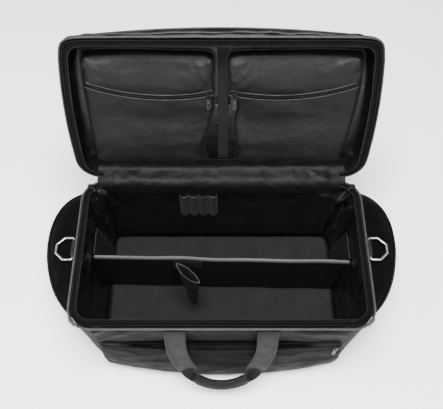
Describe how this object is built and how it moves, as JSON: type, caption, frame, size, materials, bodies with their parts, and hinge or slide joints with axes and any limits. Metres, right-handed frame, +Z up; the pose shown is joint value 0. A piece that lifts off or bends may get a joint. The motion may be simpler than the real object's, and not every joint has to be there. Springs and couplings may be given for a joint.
{
  "type": "equipment bag",
  "caption": "Open soft-sided equipment bag with a hinged zip-round lid, inner divider, lid pockets, end pockets, side rings and webbing carry handles.",
  "frame": {"origin": "centre of the tub's bottom face, on the floor", "axes": "+Z up, +X along the bag's length to its right end, front towards -Y"},
  "size_m": [0.7122, 0.5054, 0.5203],
  "materials": {
    "outer_fabric": "heavy woven nylon, dull sheen",
    "end_pocket_fabric": "matte black polyester",
    "lining_fabric": "coated nylon lining, soft shine",
    "pocket_fabric": "coated pocket cloth",
    "board_cloth": "matte cloth over stiff board",
    "webbing": "ribbed nylon webbing",
    "binding": "light grey binding tape",
    "piping": "cloth covered piping",
    "zipper_tape": "woven zipper tape with nylon coil",
    "elastic": "woven elastic",
    "slider_metal": "dark enamelled zinc",
    "pull_metal": "worn nickel",
    "ring_metal": "welded steel wire",
    "board_core": "stiff polyethylene sheet"
  },
  "bodies": {
    "bag": {"bottom_panel": "outer_fabric", "front_panel": "outer_fabric", "back_panel": "outer_fabric", "left_end_panel": "outer_fabric", "right_end_panel": "outer_fabric", "body_lining": "lining_fabric", "base_board": "board_cloth", "rim_piping": "piping", "rim_zipper": "zipper_tape", "hinge_strip": "outer_fabric", "pen_loops": "elastic", "front_pocket": "outer_fabric", "front_zipper": "zipper_tape", "left_end_pocket": "end_pocket_fabric", "right_end_pocket": "end_pocket_fabric", "left_end_zipper": "zipper_tape", "right_end_zipper": "zipper_tape", "front_anchors": "webbing", "rear_anchors": "webbing", "left_ring_tab": "webbing", "right_ring_tab": "webbing", "main_sliders": "slider_metal", "end_sliders": "slider_metal"},
    "lid": {"lid_panel": "outer_fabric", "lid_board": "board_core", "lid_gusset_front": "outer_fabric", "lid_gusset_back": "outer_fabric", "lid_gusset_left": "outer_fabric", "lid_gusset_right": "outer_fabric", "lid_lining": "lining_fabric", "lid_piping": "piping", "lid_zipper": "zipper_tape", "lid_pocket_left": "pocket_fabric", "lid_pocket_right": "pocket_fabric", "lid_pocket_zipper_left": "zipper_tape", "lid_pocket_zipper_right": "zipper_tape", "lid_strip": "webbing"},
    "divider": {"divider_panel": "lining_fabric", "divider_left_wing": "lining_fabric", "divider_right_wing": "lining_fabric", "divider_binding": "binding", "divider_holster": "lining_fabric", "divider_patch": "lining_fabric"},
    "left_ring": {"left_ring": "ring_metal"},
    "right_ring": {"right_ring": "ring_metal"},
    "front_handle": {"front_straps": "webbing", "front_grip": "webbing"},
    "rear_handle": {"rear_straps": "webbing", "rear_grip": "webbing"},
    "lid_slider_left": {"lid_slider_left": "slider_metal"},
    "lid_slider_right": {"lid_slider_right": "slider_metal"},
    "front_slider": {"front_slider": "slider_metal"},
    "lid_pull_left": {"lid_pull_left": "pull_metal"},
    "lid_pull_right": {"lid_pull_right": "pull_metal"},
    "front_pull": {"front_pull": "pull_metal"},
    "left_main_pull": {"left_main_pull": "pull_metal"},
    "right_main_pull": {"right_main_pull": "pull_metal"},
    "left_end_pull": {"left_end_pull": "pull_metal"},
    "right_end_pull": {"right_end_pull": "pull_metal"}
  },
  "joints": [
    {"name": "lid_hinge", "type": "hinge", "parent": "bag", "child": "lid", "pos_m": [0, 0.152, 0.23], "axis": [1, 0, 0], "range_deg": [0, 107]},
    {"name": "front_handle_swing", "type": "hinge", "parent": "bag", "child": "front_handle", "pos_m": [0, -0.1545, 0.213], "axis": [-1, 0, 0], "range_deg": [0, 145]},
    {"name": "rear_handle_swing", "type": "hinge", "parent": "bag", "child": "rear_handle", "pos_m": [0, 0.1555, 0.196], "axis": [1, 0, 0], "range_deg": [0, 75]},
    {"name": "left_ring_swing", "type": "hinge", "parent": "bag", "child": "left_ring", "pos_m": [-0.281, 0.012, 0.205], "axis": [0, 1, 0], "range_deg": [0, 85]},
    {"name": "right_ring_swing", "type": "hinge", "parent": "bag", "child": "right_ring", "pos_m": [0.281, 0.012, 0.205], "axis": [0, -1, 0], "range_deg": [0, 85]},
    {"name": "divider_lift", "type": "slide", "parent": "bag", "child": "divider", "axis": [0, 0, -1], "range_m": [-0.24, 0]},
    {"name": "lid_zip_left", "type": "hinge", "parent": "lid", "child": "lid_slider_left", "pos_m": [-0.102, 0.33782, 0.75982], "axis": [0, -0.9563, 0.2924], "range_deg": [-31, 0]},
    {"name": "lid_zip_right", "type": "hinge", "parent": "lid", "child": "lid_slider_right", "pos_m": [0.102, 0.33782, 0.75982], "axis": [0, -0.9563, 0.2924], "range_deg": [0, 31]},
    {"name": "front_zip", "type": "hinge", "parent": "bag", "child": "front_slider", "pos_m": [0, 2.2365, 0.13], "axis": [0, 0, 1], "range_deg": [-10, 0]},
    {"name": "lid_pull_left_flip", "type": "hinge", "parent": "lid_slider_left", "child": "lid_pull_left", "pos_m": [-0.024, 0.22061, 0.3901], "axis": [-1, 0, 0], "range_deg": [0, 120]},
    {"name": "lid_pull_right_flip", "type": "hinge", "parent": "lid_slider_right", "child": "lid_pull_right", "pos_m": [0.024, 0.22061, 0.3901], "axis": [-1, 0, 0], "range_deg": [0, 120]},
    {"name": "front_pull_flip", "type": "hinge", "parent": "front_slider", "child": "front_pull", "pos_m": [0.21235, -0.1593, 0.1202], "axis": [-0.9961, -0.0883, 0], "range_deg": [0, 120]},
    {"name": "left_main_pull_flip", "type": "hinge", "parent": "bag", "child": "left_main_pull", "pos_m": [-0.24685, 0.12585, 0.229], "axis": [-0.7071, -0.7071, 0], "range_deg": [0, 85]},
    {"name": "right_main_pull_flip", "type": "hinge", "parent": "bag", "child": "right_main_pull", "pos_m": [0.24685, 0.12585, 0.229], "axis": [-0.7071, 0.7071, 0], "range_deg": [0, 85]},
    {"name": "left_end_pull_flip", "type": "hinge", "parent": "bag", "child": "left_end_pull", "pos_m": [-0.27978, -0.11751, 0.1592], "axis": [-0.8009, 0.5988, 0], "range_deg": [0, 120]},
    {"name": "right_end_pull_flip", "type": "hinge", "parent": "bag", "child": "right_end_pull", "pos_m": [0.27978, -0.11751, 0.1592], "axis": [-0.8009, -0.5988, 0], "range_deg": [0, 120]}
  ]
}
